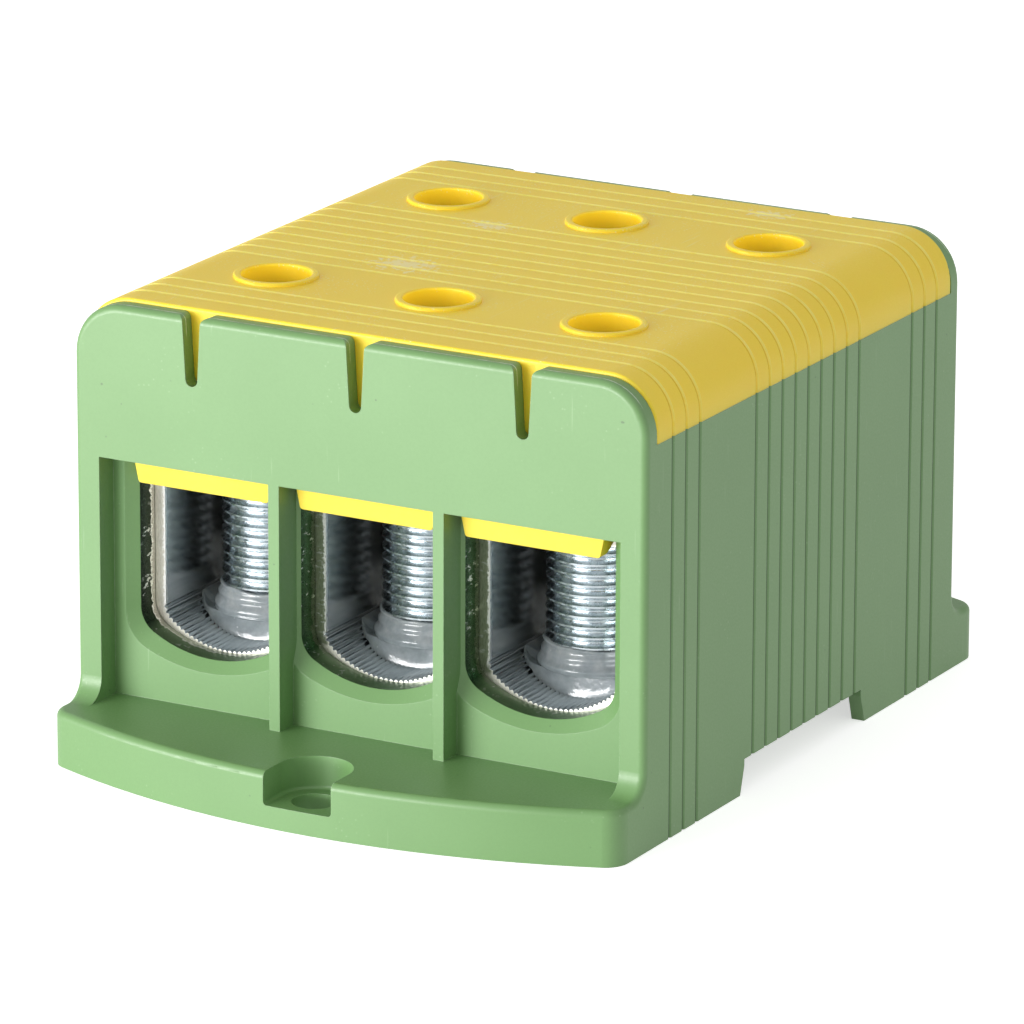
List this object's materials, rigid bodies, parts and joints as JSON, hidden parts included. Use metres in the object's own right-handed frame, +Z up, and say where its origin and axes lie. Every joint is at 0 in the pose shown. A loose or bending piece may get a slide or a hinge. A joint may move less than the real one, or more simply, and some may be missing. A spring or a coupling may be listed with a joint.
{
  "type": "power distribution block",
  "caption": "Grooved moulded block with a clip-on lid, tube connectors clamped by socket set screws, screw flanges and a notch for a mounting rail.",
  "frame": {"origin": "middle of the base, on the surface that the block stands on", "axes": "+X across the poles, +Y from front to rear along the conductors, +Z up"},
  "size_m": [0.09, 0.1266, 0.0665],
  "materials": {
    "green_plastic": "fine moulded satin",
    "yellow_plastic": "fine moulded satin",
    "tinned_aluminium": "tin-plated, drawn along its length",
    "zinc_steel": "bright zinc-plated",
    "spring_steel": "plain spring steel",
    "contact_grease": "wet, slightly cloudy"
  },
  "bodies": {
    "block": {"housing": "green_plastic", "lid": "yellow_plastic", "rail_clip": "spring_steel", "connector_left": "tinned_aluminium", "contact_grease_left_front": "contact_grease", "contact_grease_left_rear": "contact_grease", "connector_middle": "tinned_aluminium", "contact_grease_middle_front": "contact_grease", "contact_grease_middle_rear": "contact_grease", "connector_right": "tinned_aluminium", "contact_grease_right_front": "contact_grease", "contact_grease_right_rear": "contact_grease"},
    "clamp_screw_left_front": {"clamp_screw_left_front": "zinc_steel"},
    "clamp_screw_left_rear": {"clamp_screw_left_rear": "zinc_steel"},
    "clamp_screw_middle_front": {"clamp_screw_middle_front": "zinc_steel"},
    "clamp_screw_middle_rear": {"clamp_screw_middle_rear": "zinc_steel"},
    "clamp_screw_right_front": {"clamp_screw_right_front": "zinc_steel"},
    "clamp_screw_right_rear": {"clamp_screw_right_rear": "zinc_steel"}
  },
  "joints": [
    {"name": "clamp_screw_left_front_travel", "type": "slide", "parent": "block", "child": "clamp_screw_left_front", "axis": [0, 0, 1], "range_m": [0, 0.0168]},
    {"name": "clamp_screw_left_rear_travel", "type": "slide", "parent": "block", "child": "clamp_screw_left_rear", "axis": [0, 0, 1], "range_m": [0, 0.0168]},
    {"name": "clamp_screw_middle_front_travel", "type": "slide", "parent": "block", "child": "clamp_screw_middle_front", "axis": [0, 0, 1], "range_m": [0, 0.0168]},
    {"name": "clamp_screw_middle_rear_travel", "type": "slide", "parent": "block", "child": "clamp_screw_middle_rear", "axis": [0, 0, 1], "range_m": [0, 0.0168]},
    {"name": "clamp_screw_right_front_travel", "type": "slide", "parent": "block", "child": "clamp_screw_right_front", "axis": [0, 0, 1], "range_m": [0, 0.0168]},
    {"name": "clamp_screw_right_rear_travel", "type": "slide", "parent": "block", "child": "clamp_screw_right_rear", "axis": [0, 0, 1], "range_m": [0, 0.0168]}
  ]
}
